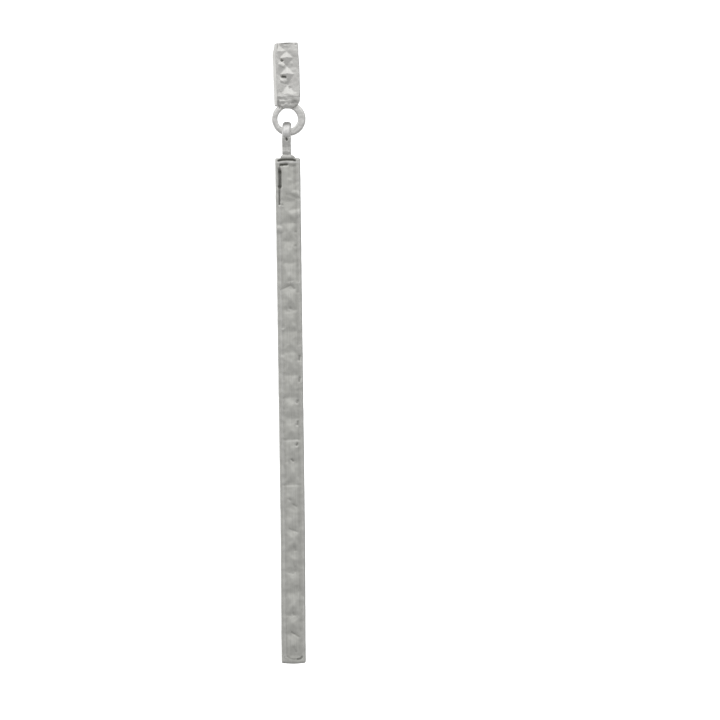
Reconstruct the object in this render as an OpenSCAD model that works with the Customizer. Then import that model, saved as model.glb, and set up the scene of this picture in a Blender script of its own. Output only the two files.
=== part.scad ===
// Bar drop earring in silver: a carved stud head with a fixed loop, and a long bar that hangs from it.
// Millimetres. +Z is up and the front faces -Y. The origin is where the post leaves the head's back.

/* [Stud head] */
// Width of the head
head_w = 2.6; // [2.2:0.05:3.4]
// Height of the carved block, without its lip
head_h = 5.8; // [4.6:0.1:8]
// Depth of the head from front to back
head_t = 1.7; // [1.3:0.05:2.4]
// Rounding of the head's upright edges and corners
head_round = 0.22; // [0.1:0.02:0.35]
// Width of the wide bevel on the left front edge
side_bevel_w = 0.3; // [0.24:0.02:0.4]
// Depth of that bevel, backwards from the front
side_bevel_t = 0.55; // [0.3:0.05:0.8]
// Lean of the head away from the bar's line, in degrees
head_lean = 1.4; // [0:0.1:3]
// Height of one diamond of the carving
diamond_h = 1.77; // [1.2:0.05:2.4]
// Height from the head's top down to the first crossing of two grooves
first_crossing = 0.82; // [0.4:0.02:1.6]
// Depth of the grooves between the diamonds
groove_depth = 0.36; // [0.15:0.02:0.5]
// Width of the plain border on each side of the diamonds
border_w = 0.46; // [0.3:0.02:0.7]
// Height of the plain band under the diamonds
band_h = 0.25; // [0.1:0.05:0.6]

/* [Lip and loop] */
// Height of the plain lip under the block
lip_h = 0.7; // [0.5:0.05:1.2]
// Step from the block in to the lip's upper edge
lip_step = 0.07; // [0.02:0.01:0.15]
// How far the lip's lower edge stands in from the block
lip_inset = 0.24; // [0.1:0.02:0.4]
// Outer diameter of the loop
loop_d = 3.44; // [3:0.02:5]
// Diameter of the loop's hole
loop_hole_d = 2.15; // [1.8:0.05:2.6]
// How far the hole lies to the left of the loop's middle
loop_hole_shift = 0.12; // [0:0.01:0.2]
// Thickness of the loop from front to back
loop_t = 0.7; // [0.6:0.02:1]
// Rounding of the loop's edges
loop_round = 0.27; // [0.1:0.01:0.29]
// How far the loop's top is sunk into the lip
loop_sink = 0.32; // [0.2:0.02:0.5]

/* [Ear post] */
// Diameter of the post
post_d = 0.8; // [0.7:0.05:1]
// Length of the post
post_len = 10; // [8:0.5:12]
// Length of the post's chamfered tip
post_tip = 0.2; // [0.1:0.02:0.3]
// Height from the head's top down to the post's centre
post_drop = 2.2; // [1:0.1:3.2]

/* [Bar] */
// Width of the bar
bar_w = 2.55; // [2:0.05:4]
// Length of the bar without its eye
bar_len = 53; // [30:0.5:70]
// Depth of the bar from front to back
bar_t = 1.8; // [1.4:0.05:2.4]
// Rounding of the bar's long edges and of its corners
bar_round = 0.24; // [0.1:0.02:0.3]
// Width of the plain rim along each side
rim_w = 0.34; // [0.2:0.02:0.5]
// Height of the plain rim at the top and at the bottom
rim_end = 0.55; // [0.3:0.05:1]
// Depth of the sunk channel inside the rim
channel_depth = 0.2; // [0.1:0.02:0.5]
// Height of the pyramids above the channel's floor
pyramid_h = 0.2; // [0.1:0.02:0.5]
// How far the pyramids' points lie to the right of the middle
point_shift = 0.08; // [0:0.02:0.2]

/* [Bar eye] */
// Width of the eye and of its neck
eye_w = 0.92; // [0.7:0.02:1.1]
// Wall of the eye round its hole
eye_wall = 0.5; // [0.35:0.01:0.6]
// Rounding of the eye's edges
eye_round = 0.15; // [0.05:0.01:0.2]
// Least clearance between the eye's hole and the loop
eye_clearance = 0.03; // [0.02:0.01:0.12]
// How far the eye hangs to the left of the lowest point of the loop's hole
eye_shift = 0.12; // [0:0.01:0.15]
// Length of the neck between the eye and the bar
neck_len = 1.72; // [0.8:0.05:3]
// Depth of the neck from front to back
neck_t = 1.2; // [0.9:0.05:1.6]
// Width of the solder foot on the bar's top
foot_w = 1.4; // [1.1:0.05:1.8]
// Height of the solder foot
foot_h = 0.4; // [0.2:0.05:0.7]

/* [Hidden] */
$fn = 48;
silver = [0.75, 0.74, 0.72];
// Overlap between shapes that are fused into one solid, and overshoot of cutters
fuse = 0.1;

// Middle plane of head, loop and bar, from front to back
mid_y = -head_t / 2;

// Carving of the head: a groove runs from each crossing to the borders, half a diamond up or down
carving_w = head_w - 2 * border_w;
groove_angle = atan2(carving_w, diamond_h);
groove_pitch = diamond_h * sin(groove_angle);
groove_count = ceil(head_h / groove_pitch) + 2;

// Loop: its outer middle and its hole's middle, measured down the leaning head from the post
loop_r = loop_d / 2;
loop_hole_r = loop_hole_d / 2;
loop_z = post_drop - head_h - lip_h + loop_sink - loop_r;
hole_x = -loop_z * sin(head_lean) - loop_hole_shift * cos(head_lean);
hole_z = loop_z * cos(head_lean) - loop_hole_shift * sin(head_lean);

// Metal under the loop's hole, which carries the eye
carry_h = sqrt(pow(loop_r, 2) - pow(loop_hole_shift, 2)) - loop_hole_r;
carry_reach_x = eye_w / 2 + eye_shift;
carry_rise = loop_hole_r - sqrt(pow(loop_hole_r, 2) - pow(carry_reach_x, 2));
carry_reach = norm([loop_t / 2 - loop_round, carry_h / 2 - loop_round + carry_rise]) + loop_round;

// Eye: its hole turns about the middle of the metal that carries it
eye_hole_r = carry_reach + eye_clearance;
eye_r = eye_hole_r + eye_wall;
eye_x = hole_x - eye_shift;
eye_z = hole_z - loop_hole_r - carry_h / 2;
bar_top_z = eye_z - eye_r - neck_len;

// Channel of the bar, and the lines between its pyramids as shares of the channel's length, from the top
channel_w = bar_w - 2 * rim_w;
channel_len = bar_len - 2 * rim_end;
PYRAMID_LINES = [
    0, 0.072, 0.117, 0.157, 0.200, 0.251, 0.294, 0.339, 0.381, 0.428, 0.472, 0.515,
    0.557, 0.603, 0.647, 0.694, 0.743, 0.783, 0.825, 0.868, 0.914, 0.951, 1];

// Draws a shape in X and Z, and gives it a depth backwards from the plane y = front
module from_front(front, depth) {
    translate([0, front + depth, 0]) rotate([90, 0, 0]) linear_extrude(depth) children();
}

// Draws a shape in Y and Z, and gives it a width centred on the plane x = 0
module from_side(width) {
    translate([-width / 2, 0, 0]) rotate([90, 0, 90]) linear_extrude(width) children();
}

// Upright block with its top centre at the origin of X and Z, and its upright edges and corners rounded
module rounded_block(width, depth, height, radius) {
    intersection() {
        translate([0, 0, -height]) linear_extrude(height) rounded_rect(width, depth, radius);
        from_front(-depth / 2 - fuse, depth + 2 * fuse)
            translate([0, -height / 2]) rounded_rect(width, height, radius);
    }
}

module rounded_rect(width, height, radius) {
    square([width - 2 * radius, height], center = true);
    square([width, height - 2 * radius], center = true);
    for (x = [-1, 1], y = [-1, 1])
        translate([x * (width / 2 - radius), y * (height / 2 - radius)]) circle(radius);
}

// Ridges side by side, with grooves between them that lean by the given angle
module leaning_ridges(angle) {
    reach = groove_count * groove_pitch;
    ridge_points = [
        for (i = [-groove_count : groove_count - 1])
            each [[i * groove_pitch, 0], [(i + 0.5) * groove_pitch, groove_depth]]];
    rotate([0, angle, 0]) translate([0, 0, -reach]) linear_extrude(2 * reach)
        polygon([for (p = concat([[-reach, -fuse]], ridge_points, [[reach, 0], [reach, -fuse]])) [p[0], -p[1]]]);
}

module diamonds() {
    carving_h = head_h - band_h;
    intersection() {
        from_front(-groove_depth, groove_depth + fuse / 2)
            translate([-carving_w / 2, -carving_h]) square([carving_w, carving_h]);
        translate([0, 0, -first_crossing]) leaning_ridges(groove_angle);
        translate([0, 0, -first_crossing]) leaning_ridges(-groove_angle);
    }
}

module head_block() {
    carving_h = head_h - band_h;
    difference() {
        translate([0, mid_y, 0]) rounded_block(head_w, head_t, head_h, head_round);
        from_front(-head_t - fuse, groove_depth + fuse)
            translate([-carving_w / 2, -carving_h]) square([carving_w, carving_h + fuse]);
    }
    translate([0, -head_t + groove_depth, 0]) diamonds();
}

// Cutter of the wide bevel, along the left front edge of the block and of its lip
module side_bevel() {
    left = -head_w / 2;
    translate([0, 0, -head_h - lip_h - fuse]) linear_extrude(head_h + lip_h + 2 * fuse)
        polygon([
            [left - fuse, -head_t - fuse], [left + side_bevel_w, -head_t - fuse], [left + side_bevel_w, -head_t],
            [left, side_bevel_t - head_t], [left - fuse, side_bevel_t - head_t]]);
}

// Outline of the lip, from its sunk top down to its narrower lower edge
function lip_outline(half) = [
    [-half, fuse], [half, fuse], [half, 0], [half + lip_step - lip_inset, -lip_h],
    [-half - lip_step + lip_inset, -lip_h], [-half, 0]];

module lip() {
    translate([0, mid_y, -head_h]) intersection() {
        from_front(-head_t / 2, head_t) polygon(lip_outline(head_w / 2 - lip_step));
        from_side(head_w) polygon(lip_outline(head_t / 2 - lip_step));
    }
}

// Round plate with rounded edges, its axis along Y
module loop_plate() {
    rotate([90, 0, 0]) rotate_extrude() {
        translate([0, -loop_t / 2]) square([loop_r - loop_round, loop_t]);
        translate([0, -loop_t / 2 + loop_round]) square([loop_r, loop_t - 2 * loop_round]);
        for (side = [-1, 1])
            translate([loop_r - loop_round, side * (loop_t / 2 - loop_round)]) circle(loop_round);
    }
}

// Bore through the loop, which flares out at both faces
module loop_bore() {
    flare_r = loop_hole_r + loop_round;
    rotate([90, 0, 0]) rotate_extrude() difference() {
        translate([0, -loop_t / 2 - fuse]) square([flare_r, loop_t + 2 * fuse]);
        translate([loop_hole_r, -loop_t / 2 + loop_round]) square([2 * loop_round, loop_t - 2 * loop_round]);
        for (side = [-1, 1])
            translate([flare_r, side * (loop_t / 2 - loop_round)]) circle(loop_round);
    }
}

module loop() {
    translate([0, mid_y, loop_z]) difference() {
        loop_plate();
        translate([-loop_hole_shift, 0, 0]) loop_bore();
    }
}

module stud_head() {
    color(silver) rotate([0, -head_lean, 0]) {
        translate([0, 0, post_drop]) difference() {
            union() {
                head_block();
                lip();
            }
            side_bevel();
        }
        loop();
    }
}

module ear_post() {
    color(silver) rotate([-90, 0, 0]) {
        cylinder(h = post_len - post_tip, d = post_d);
        translate([0, 0, post_len - post_tip]) cylinder(h = post_tip, d1 = post_d, d2 = post_d - 2 * post_tip);
    }
}

// Row of pyramids, point to point with the rim's face, with their base in the plane y = 0
module pyramids() {
    across = [
        [-channel_w / 2, fuse], [-channel_w / 2, 0], [point_shift, -pyramid_h],
        [channel_w / 2, 0], [channel_w / 2, fuse]];
    along = [
        for (i = [0 : len(PYRAMID_LINES) - 2])
            each [
                [0, -PYRAMID_LINES[i] * channel_len],
                [-pyramid_h, -(PYRAMID_LINES[i] + PYRAMID_LINES[i + 1]) / 2 * channel_len]]];
    translate([0, 0, -rim_end]) intersection() {
        translate([0, 0, -channel_len]) linear_extrude(channel_len) polygon(across);
        from_side(bar_w) polygon(concat([[fuse, 0]], along, [[0, -channel_len], [fuse, -channel_len]]));
    }
}

// Bar with its top centre at the origin
module bar() {
    difference() {
        rounded_block(bar_w, bar_t, bar_len, bar_round);
        from_front(-bar_t / 2 - fuse, channel_depth + fuse)
            translate([-channel_w / 2, -rim_end - channel_len]) square([channel_w, channel_len]);
    }
    translate([0, -bar_t / 2 + channel_depth, 0]) pyramids();
}

// Ring seen edge-on, with its hole's middle at the origin
module eye_ring() {
    rotate([0, 90, 0]) rotate_extrude() translate([eye_hole_r + eye_wall / 2, 0])
        rounded_rect(eye_wall, eye_w, eye_round);
}

// Neck under the eye, which spreads into a solder foot on the bar's top
module eye_neck() {
    neck_top = -eye_hole_r - eye_wall / 2;
    foot_z = -eye_r - neck_len;
    foot_t = neck_t + foot_w - eye_w;
    translate([0, 0, foot_z]) {
        linear_extrude(neck_top - foot_z) rounded_rect(eye_w, neck_t, eye_round);
        intersection() {
            from_front(-foot_t / 2, foot_t)
                polygon([[-foot_w / 2, -fuse], [foot_w / 2, -fuse], [foot_w / 2, 0], [eye_w / 2, foot_h],
                    [-eye_w / 2, foot_h], [-foot_w / 2, 0]]);
            from_side(foot_w)
                polygon([[-foot_t / 2, -fuse], [foot_t / 2, -fuse], [foot_t / 2, 0], [neck_t / 2, foot_h],
                    [-neck_t / 2, foot_h], [-foot_t / 2, 0]]);
        }
    }
}

module drop_bar() {
    color(silver) {
        translate([eye_x, mid_y, eye_z]) {
            eye_ring();
            eye_neck();
        }
        translate([eye_x, mid_y, bar_top_z]) bar();
    }
}

stud_head();
ear_post();
drop_bar();
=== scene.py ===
"""Looks of a silver bar drop earring: a carved stud head with a fixed loop, and a long bar on the loop.

Sizes are millimetres in the part's own frame: +Z up, the front faces -Y, and the origin is where the
ear post leaves the back of the head. Points of the carving are written as across, from the middle line,
and down, from the top of the head or of the bar.
"""

import math
import random

import bmesh
import bpy
import numpy as np
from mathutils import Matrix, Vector


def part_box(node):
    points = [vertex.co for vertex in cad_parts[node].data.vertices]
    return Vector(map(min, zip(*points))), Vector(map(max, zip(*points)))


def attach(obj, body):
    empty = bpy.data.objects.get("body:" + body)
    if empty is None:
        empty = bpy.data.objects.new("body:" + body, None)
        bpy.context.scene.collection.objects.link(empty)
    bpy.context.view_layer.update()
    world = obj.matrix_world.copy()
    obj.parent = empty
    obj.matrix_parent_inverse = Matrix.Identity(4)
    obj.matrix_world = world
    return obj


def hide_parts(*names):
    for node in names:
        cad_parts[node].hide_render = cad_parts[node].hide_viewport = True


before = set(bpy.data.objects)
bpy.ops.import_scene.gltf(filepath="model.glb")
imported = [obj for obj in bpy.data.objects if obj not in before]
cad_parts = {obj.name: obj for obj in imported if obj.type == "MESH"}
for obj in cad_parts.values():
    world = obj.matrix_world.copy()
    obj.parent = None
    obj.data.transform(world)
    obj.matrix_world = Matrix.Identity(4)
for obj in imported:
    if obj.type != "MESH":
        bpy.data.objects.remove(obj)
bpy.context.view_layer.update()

MM = 0.001
chance = random.Random(7)

# How near a point lies to a plane that it is on, on flat solids and on bevelled ones, and how straight
# a face looks to the front
NEAR, CLOSE = 0.002, 0.01
FACING = 0.99

# Marks and their dark patches, painted shade and shadow with some stain: how far behind the front's plane
# they reach, how far into a mark's reach a dark patch spreads, and where a dark patch and a painted
# highlight line are gone, in widths from their middle
FRONT_SKIN = 0.7
STAIN_AND_SHADE_REACH = 0.3
STAIN_AND_SHADE_GONE, LINE_GONE = 1.35, 1.5

# Per cent of the points that are less open than the deepest recess, a flat face and the most worn edge
DEEPEST, FLAT, MOST_WORN = 0.3, 50, 99.7

# Stud head
HEAD_W, HEAD_T, HEAD_H = 2.71, 1.7, 5.68
HEAD_X = -0.055
HEAD_LEFT, HEAD_RIGHT = HEAD_X - HEAD_W / 2, HEAD_X + HEAD_W / 2
HEAD_TOP = 2.32
HEAD_ROUND = 0.13
HEAD_LEAN = math.radians(1.4)
HEAD_GRAIN, HEAD_SMOOTHING = 0.04, 9
MIDDLE_Y = -HEAD_T / 2
SIDE_BEVEL_W, SIDE_BEVEL_D = 0.35, 0.55
PUSH_W = 0.12

# Swells of a surface: how wide and how high
HEAD_SWELLS = [(0.9, 0.05), (0.35, 0.03)]
BAR_FRONT_SWELLS = [(1.3, 0.06), (0.6, 0.035)]
BAR_SWELLS = [(1.0, 0.03)]
EYE_SWELLS = [(0.7, 0.04), (0.3, 0.02)]

# Diamonds of the head: lines across through the crossings of the grooves and through the diamonds' peaks
CROSSINGS = [0.92, 2.54, 4.49]
PEAKS = [1.67, 3.38]
PEAK_RISE = 0.11
CHART_NEAR = 0.02
FIELD_LEFT, FIELD_MIDDLE, FIELD_RIGHT, FIELD_BOTTOM = -0.72, 0.06, 0.74, 5.46

# Lip and loop
LIP_H, LIP_STEP, LIP_ROUND, LIP_EDGE = 0.94, 0.03, 0.14, 0.06
LIP_NARROW, LIP_THIN = 0.26, 0.14
LIP_SINK, LIP_TURN = 0.3, 0.45
SOLDER_W, SOLDER_UP, SOLDER_DOWN = 1.85, 0.12, 0.28
SOLDER_FRONT, SOLDER_SLOPE, SOLDER_NARROW = 0.07, 0.1, 0.62
SOLDER_BLEND_Z, SOLDER_BLEND_H, SOLDER_SMOOTHING = 0.08, 0.42, 30
LOOP_R, LOOP_HOLE_R, LOOP_T, LOOP_ROUND, LOOP_HOLE_ROUND = 1.76, 1.075, 0.7, 0.2, 0.13
LOOP_HOLE_SHIFT = 0.12
LOOP_SINK = 0.36
LOOP_X = 0.035
LOOP_LIGHTER, LOOP_LIGHTER_FADE = 0.4, 0.3
LOOP_Z = HEAD_TOP - HEAD_H - LIP_H + LOOP_SINK - LOOP_R
RING_SIDES, RING_SEGMENTS = 80, 5

# Ear post
POST_R, POST_LEN, POST_TIP, POST_SIDES = 0.4, 10.0, 0.2, 48

# Bar: its place comes from the frame
BAR_W, BAR_T, BAR_LEN = 2.54, 1.8, 53.02
BAR_TAPER = 1.03
BAR_ROUND = 0.15
bar_low, bar_high = (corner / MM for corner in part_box("drop_bar"))
BAR_X = (bar_low.x + bar_high.x) / 2
BAR_TOP = bar_low.z + BAR_LEN
BAR_FRONT = MIDDLE_Y - BAR_T / 2
BAR_GRAIN, BAR_SMOOTHING, SMOOTHED_BEHIND = 0.078, 8, 0.1
BAR_ASIDE, BOW, BOW_REACH, BOW_END = 0.1, 0.09, 15.0, 0.1
END_RISE, END_REACH, END_CORNER_W, END_CORNER_H = 0.07, 1.1, 0.1, 0.25
MARKS_LEFT = 0.05
MARKS_X = BAR_X - MARKS_LEFT

# Its filed top, and the painted highlight lines across its top, at that height, and along its rim, that far
# across
TOP_CHAMFER = 0.24
TOP_LINE, TOP_LINE_W, TOP_HIGHLIGHT = 0.43, 0.08, 0.8
RIM_LINE, RIM_LINE_W, RIM_HIGHLIGHT = -0.82, 0.1, 0.3

# Its rim and channel, and the pyramids, whose lines lean and whose points stray by up to so much
RIM_W, RIM_END = 0.34, 0.62
CHANNEL_DEPTH, CHANNEL_DRAFT = 0.1, 0.16
PYRAMID_H = 0.11
LINE_LEAN = 0.06
POINT_NEAR, POINT_SHIFT, POINT_ASIDE, POINT_UP = 0.4, 0.08, 0.1, 0.2
POINT_HIGHER, POINT_LOWER = 0.02, 0.03

# Eye, neck and foot of the bar
EYE_R = (bar_high.y - bar_low.y) / 2
EYE_W, EYE_WALL, EYE_ROUND, EYE_HOLE_ROUND = 0.92, 0.5, 0.33, 0.12
EYE_Z = bar_high.z - EYE_R
EYE_GRAIN, EYE_SMOOTHING = 0.035, 4
EYE_ASIDE, EYE_RISE, EYE_CROWN, EYE_CROWN_REACH = 0.07, 0.08, 0.1, 1.2
EYE_LIGHTER_END, EYE_LIGHTER_FADE, NECK_LIGHTER = 0.75, 0.5, 0.52
NECK_T, NECK_ROUND, NECK_SINK = 1.2, 0.16, 0.1
GUSSET_DOWN, GUSSET_H = 0.58, 1.0
FOOT_W, FOOT_H, FOOT_SINK, FOOT_ROUND = 1.74, 0.45, 0.12, 0.08
FOOT_TOP_W, FOOT_TOP_T, FOOT_MIDDLE_W = 0.68, 0.98, 1.4
FOOT_TURN, FOOT_DEEPER_MIDDLE, FOOT_DEEPER_END = 0.55, 1.2, 1.25
FOOT_ASIDE = 0.11

# Lines between the pyramids, as shares of the channel's length from its top
PYRAMID_LINES = [
    0.077, 0.119, 0.157, 0.200, 0.251, 0.294, 0.339, 0.381, 0.428, 0.472, 0.515,
    0.557, 0.603, 0.647, 0.694, 0.743, 0.783, 0.825, 0.868, 0.914, 0.951]


# Selecting and editing

def deselect():
    if bpy.context.object and bpy.context.object.mode == "EDIT":
        bpy.ops.object.mode_set(mode="OBJECT")
    bpy.ops.object.select_all(action="DESELECT")


def use(*pieces):
    """Makes the pieces the selected ones, the first of them active."""
    deselect()
    for piece in pieces:
        piece.select_set(True)
    bpy.context.view_layer.objects.active = pieces[0]


def edit_all(piece):
    use(piece)
    bpy.ops.object.mode_set(mode="EDIT")
    bpy.ops.mesh.select_mode(type="VERT")
    bpy.ops.mesh.select_all(action="SELECT")


def done():
    bpy.ops.object.mode_set(mode="OBJECT")


def pick(piece, kind, test):
    """Stays in edit mode with the points, edges or faces selected that pass the test.

    A point is tested by its place, an edge by its two ends, and a face by its middle and its normal, all
    in millimetres.
    """
    edit_all(piece)
    bpy.ops.mesh.select_mode(type=kind)
    bpy.ops.mesh.select_all(action="DESELECT")
    mesh = bmesh.from_edit_mesh(piece.data)
    if kind == "VERT":
        for point in mesh.verts:
            point.select_set(test(point.co / MM))
    elif kind == "EDGE":
        for line in mesh.edges:
            line.select_set(test(line.verts[0].co / MM, line.verts[1].co / MM))
    else:
        for face in mesh.faces:
            face.select_set(test(face.calc_center_median() / MM, face.normal))
    bmesh.update_edit_mesh(piece.data)


def cut(piece, place, facing, test=None):
    """Cuts all faces, or those that pass the test, along a plane."""
    if test:
        pick(piece, "FACE", test)
    else:
        edit_all(piece)
    bpy.ops.mesh.bisect(plane_co=Vector(place) * MM, plane_no=facing, threshold=NEAR * MM)
    done()


def move(x=0.0, y=0.0, z=0.0, reach=0.0):
    """Moves what is selected, and softly what lies within reach of it."""
    soft = {}
    if reach:
        soft["use_proportional_edit"] = True
        soft["proportional_edit_falloff"] = "SMOOTH"
        soft["proportional_size"] = reach * MM
    bpy.ops.transform.translate(value=(x * MM, y * MM, z * MM), **soft)


def widen(x, y, z, about):
    bpy.ops.transform.resize(value=(x, y, z), center_override=Vector(about) * MM)


def move_points(piece, test, **step):
    pick(piece, "VERT", test)
    move(**step)
    done()


def widen_points(piece, test, x, y, about):
    pick(piece, "VERT", test)
    widen(x, y, 1, about)
    done()


def modify(piece, kind, **settings):
    """Adds a modifier and applies it at once."""
    use(piece)
    change = piece.modifiers.new(kind.title(), kind)
    for key, value in settings.items():
        setattr(change, key, value)
    bpy.ops.object.modifier_apply(modifier=change.name)


def fix_place(piece):
    use(piece)
    bpy.ops.object.transform_apply(location=True, rotation=True, scale=True)


def block(name, size, middle):
    deselect()
    bpy.ops.mesh.primitive_cube_add(size=MM, location=Vector(middle) * MM, scale=size)
    piece = bpy.context.object
    piece.name = piece.data.name = name
    fix_place(piece)
    return piece


def round_edges(piece, radius, segments, test=lambda a, b: True):
    pick(piece, "EDGE", test)
    bpy.ops.mesh.bevel(offset=radius * MM, segments=segments, affect="EDGES")
    done()


def fuse(pieces, grain):
    """Makes one skin of solids that overlap, as solder does."""
    if len(pieces) > 1:
        use(*pieces)
        bpy.ops.object.join()
    modify(pieces[0], "REMESH", mode="VOXEL", voxel_size=grain * MM)
    return pieces[0]


def smooth(piece, times, group=""):
    modify(piece, "SMOOTH", factor=0.5, iterations=times, vertex_group=group)


# Surface of cast and hammered metal

def places(piece):
    """Places of all points in millimetres, a row each."""
    spots = np.empty(len(piece.data.vertices) * 3)
    piece.data.vertices.foreach_get("co", spots)
    return spots.reshape(-1, 3) / MM


def from_line(across, down, line):
    """Distances of points from a line of points, all across and down."""
    spots = np.stack([across, down], axis=1)
    nearest = np.full(len(spots), 1e9)
    for start, end in zip(line, line[1:] or line):
        start, along = np.array(start), np.array(end) - np.array(start)
        share = np.clip((spots - start) @ along / max(along @ along, 1e-9), 0, 1)
        nearest = np.minimum(nearest, np.linalg.norm(spots - start - share[:, None] * along, axis=1))
    return nearest


def pick_points(piece, chosen):
    """Stays in edit mode with the chosen points selected."""
    use(piece)
    bpy.context.tool_settings.mesh_select_mode = (True, False, False)
    piece.data.polygons.foreach_set("select", np.zeros(len(piece.data.polygons), bool))
    piece.data.edges.foreach_set("select", np.zeros(len(piece.data.edges), bool))
    piece.data.vertices.foreach_set("select", chosen)
    bpy.ops.object.mode_set(mode="EDIT")


def press(piece, marks, front, middle_x=0.0, top=0.0):
    """Presses each mark's line into the front, softly out to its reach. A depth under 0 raises it."""
    for line, width, reach, depth, dark in marks:
        spots = places(piece)
        off = from_line(spots[:, 0] - middle_x, top - spots[:, 2], line)
        chosen = (off < width) & (spots[:, 1] < front + FRONT_SKIN)
        if depth and chosen.any():
            pick_points(piece, chosen)
            move(y=depth, reach=reach)
            done()


def fade(share):
    share = np.clip(share, 0, 1)
    return share * share * (3 - 2 * share)


def keep(piece, name, values):
    """Keeps a value for each point, which the materials read by its name."""
    layer = piece.data.attributes.new(name, "FLOAT", "POINT")
    layer.data.foreach_set("value", np.asarray(values, dtype=np.float32))


def stain_and_shade(piece, marks, front, middle_x=0.0, top=0.0):
    """Keeps how dark each point of the front is painted: painted shade and shadow in pits, creases and along
    edges, with some stain.
    """
    spots = places(piece)
    amount = np.zeros(len(spots))
    on_front = fade((front + 2 * FRONT_SKIN - spots[:, 1]) / FRONT_SKIN)
    for line, width, reach, depth, dark in marks:
        off = from_line(spots[:, 0] - middle_x, top - spots[:, 2], line)
        amount = np.maximum(amount, dark * fade(STAIN_AND_SHADE_GONE - off / (width + STAIN_AND_SHADE_REACH * reach)))
    keep(piece, "stain_and_shade", amount * on_front)


def find_recesses(piece):
    """Keeps how deep in a recess and how worn on an edge each point is, by the shape round it."""
    use(piece)
    bpy.ops.geometry.color_attribute_add(
        name="dirt", domain="POINT", data_type="FLOAT_COLOR", color=(1, 1, 1, 1))
    bpy.ops.paint.vertex_color_dirt(blur_strength=1, blur_iterations=2, clean_angle=math.pi, dirt_angle=0)
    colours = np.empty(len(piece.data.vertices) * 4)
    piece.data.color_attributes["dirt"].data.foreach_get("color", colours)
    openness = colours[::4]
    deepest, flat, highest = np.percentile(openness, [DEEPEST, FLAT, MOST_WORN])
    bpy.ops.geometry.color_attribute_remove()
    keep(piece, "recess", np.clip((flat - openness) / (flat - deepest), 0, 1))
    keep(piece, "worn", np.clip((openness - flat) / (highest - flat), 0, 1))


def push(piece, spots, reach, x, z):
    """Moves the outline softly at spots given across and down, through the whole thickness."""
    def at_spot(p):
        return any(math.hypot(p.x - across, HEAD_TOP - p.z - down) < PUSH_W for across, down in spots)

    move_points(piece, at_spot, x=x, z=z, reach=reach)


def swell(piece, swells, group=""):
    """Uneven surface of cast metal: soft swells of the given sizes and heights."""
    for size, height in swells:
        pattern = bpy.data.textures.new(piece.name + "_swell", "CLOUDS")
        pattern.noise_scale = size * MM
        pattern.noise_depth = 1
        modify(
            piece, "DISPLACE", texture=pattern, texture_coords="LOCAL", mid_level=0.5,
            strength=height * MM, vertex_group=group)


def group_front(piece, front, depth):
    """Names the points that lie on the carved front."""
    group = piece.vertex_groups.new(name="front")
    group.add([p.index for p in piece.data.vertices if p.co.y / MM < front + depth], 1.0, "REPLACE")


# Stud head

def make_head():
    front = -HEAD_T
    head = block("head", (HEAD_W, HEAD_T, HEAD_H), (HEAD_X, MIDDLE_Y, HEAD_TOP - HEAD_H / 2))
    bevel_side(head, front)
    carve_diamonds(head, front)
    round_edges(head, HEAD_ROUND, 4, on_outline)
    head = fuse([head, make_lip(front), make_loop(), make_solder(front)], HEAD_GRAIN)
    smooth(head, HEAD_SMOOTHING)
    soften_solder(head)
    for spots, reach, x, z in HEAD_PUSHES:
        push(head, spots, reach, x, z)
    swell(head, HEAD_SWELLS)
    press(head, HEAD_MARKS, front, top=HEAD_TOP)
    stain_and_shade(head, HEAD_MARKS, front, top=HEAD_TOP)
    down = HEAD_TOP - places(head)[:, 2]
    # The loop is given a lighter colour
    keep(head, "polish_and_highlight", fade((down - HEAD_H - LIP_H) / LOOP_LIGHTER_FADE) * LOOP_LIGHTER)
    find_recesses(head)
    use(head)
    head.rotation_euler = (0, -HEAD_LEAN, 0)
    fix_place(head)
    return head


def on_outline(a, b):
    """Edges of the block itself, but not those round its lower face, where the lip goes on."""
    def outer(p):
        side = p.x > HEAD_RIGHT - NEAR or p.x < HEAD_LEFT + SIDE_BEVEL_W + NEAR
        return side or p.z > HEAD_TOP - NEAR or p.y > -NEAR

    return outer(a) and outer(b) and max(a.z, b.z) > HEAD_TOP - HEAD_H + NEAR


def soften_solder(head):
    """Lets the lip run into the loop, as solder does."""
    group = head.vertex_groups.new(name="solder")
    down = HEAD_TOP - places(head)[:, 2]
    near = np.nonzero(np.abs(down - HEAD_H - LIP_H - SOLDER_BLEND_Z) < SOLDER_BLEND_H)[0]
    group.add(near.tolist(), 1.0, "REPLACE")
    smooth(head, SOLDER_SMOOTHING, "solder")


def bevel_side(head, front):
    """Wide bevel on the left side of the front, which catches the light."""
    round_edges(head, SIDE_BEVEL_W, 1, lambda a, b: max(a.x, b.x) < 0 and max(a.y, b.y) < front + CLOSE)

    def behind_bevel(p):
        return p.x < HEAD_LEFT + CLOSE and front + CLOSE < p.y < front + SIDE_BEVEL_W + CLOSE

    move_points(head, behind_bevel, y=SIDE_BEVEL_D - SIDE_BEVEL_W)


def carve_diamonds(head, front):
    """Cuts the front into a chart of lines, joins the low points where grooves run, and presses them in."""
    def on_front(middle, normal):
        return normal.y < -FACING and middle.y < front + CLOSE

    for x in (FIELD_LEFT, FIELD_MIDDLE, FIELD_RIGHT):
        cut(head, (x, 0, 0), (1, 0, 0), on_front)
    for down in (*CROSSINGS, *PEAKS, FIELD_BOTTOM):
        cut(head, (0, 0, HEAD_TOP - down), (0, 0, 1), on_front)

    def at(p, x, down):
        return p.y < front + CLOSE and math.hypot(p.x - x, HEAD_TOP - p.z - down) < CHART_NEAR

    pick(head, "VERT", lambda p: any(at(p, x, down) for x, down, depth, aside in LOW_POINTS))
    bpy.ops.mesh.vert_connect()
    done()
    for x, down, depth, aside in LOW_POINTS + HIGH_POINTS:
        move_points(head, lambda p: at(p, x, down), x=aside, y=depth)
    peaks = (*PEAKS, FIELD_BOTTOM)
    move_points(head, lambda p: any(at(p, FIELD_MIDDLE, down) for down in peaks), z=PEAK_RISE)


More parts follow.
